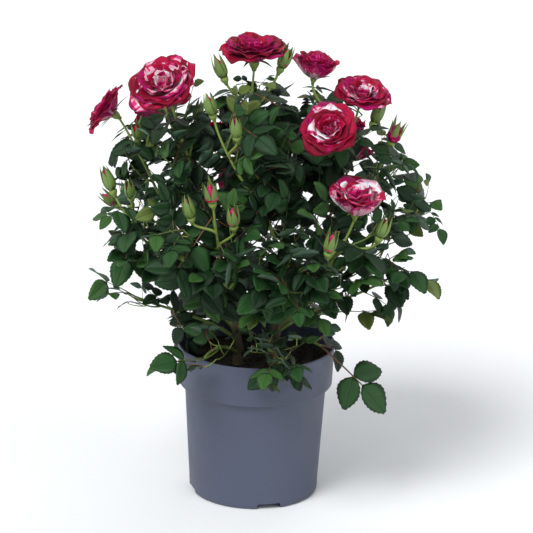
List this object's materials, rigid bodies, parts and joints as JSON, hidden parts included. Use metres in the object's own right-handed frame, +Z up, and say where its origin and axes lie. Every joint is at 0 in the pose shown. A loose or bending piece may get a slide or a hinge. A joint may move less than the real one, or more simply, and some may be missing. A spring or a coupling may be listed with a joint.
{
  "type": "potted rose bush",
  "caption": "Miniature rose bush with striped red and white double blooms and buds, growing from soil in a round tapered plastic nursery pot with a deep collar.",
  "frame": {"origin": "centre of the pot's flat underside", "axes": "+Z up along the pot's axis, +X to the picture's right, -Y towards the picture's viewer"},
  "size_m": [0.2725, 0.2556, 0.3566],
  "materials": {
    "pot_plastic": "matte",
    "soil": "matte",
    "bark": "satin",
    "foliage": "satin"
  },
  "bodies": {
    "root": {"bough_back": "bark", "bough_back_left": "bark", "bough_back_left_low": "bark", "bough_back_low": "bark", "bough_back_right": "bark", "bough_back_right_low": "bark", "bough_front_buds": "bark", "bough_front_high": "bark", "bough_front_low": "bark", "bough_front_right_low": "bark", "bough_left": "bark", "bough_left_bud": "bark", "bough_left_low": "bark", "bough_right_bud": "bark", "bough_right_low": "bark", "bough_right_out": "bark", "bough_rim_back_left": "bark", "bough_rim_back_right": "bark", "bough_rim_front": "bark", "bough_rim_front_left": "bark", "bough_rim_right": "bark", "bough_top": "bark", "bough_top_left": "bark", "bough_top_right": "bark", "foliage_back": "foliage", "foliage_back_left": "foliage", "foliage_back_left_low": "foliage", "foliage_back_low": "foliage", "foliage_back_right": "foliage", "foliage_back_right_low": "foliage", "foliage_front_buds": "foliage", "foliage_front_high": "foliage", "foliage_front_low": "foliage", "foliage_front_right_low": "foliage", "foliage_left": "foliage", "foliage_left_bud": "foliage", "foliage_left_low": "foliage", "foliage_right_bud": "foliage", "foliage_right_low": "foliage", "foliage_right_out": "foliage", "foliage_rim_back_left": "foliage", "foliage_rim_back_right": "foliage", "foliage_rim_front": "foliage", "foliage_rim_front_left": "foliage", "foliage_rim_right": "foliage", "foliage_top": "foliage", "foliage_top_left": "foliage", "foliage_top_right": "foliage", "pot": "pot_plastic", "soil": "soil", "stem_back_left": "bark", "stem_back_right": "bark", "stem_front_left": "bark", "stem_front_right": "bark"}
  },
  "joints": []
}
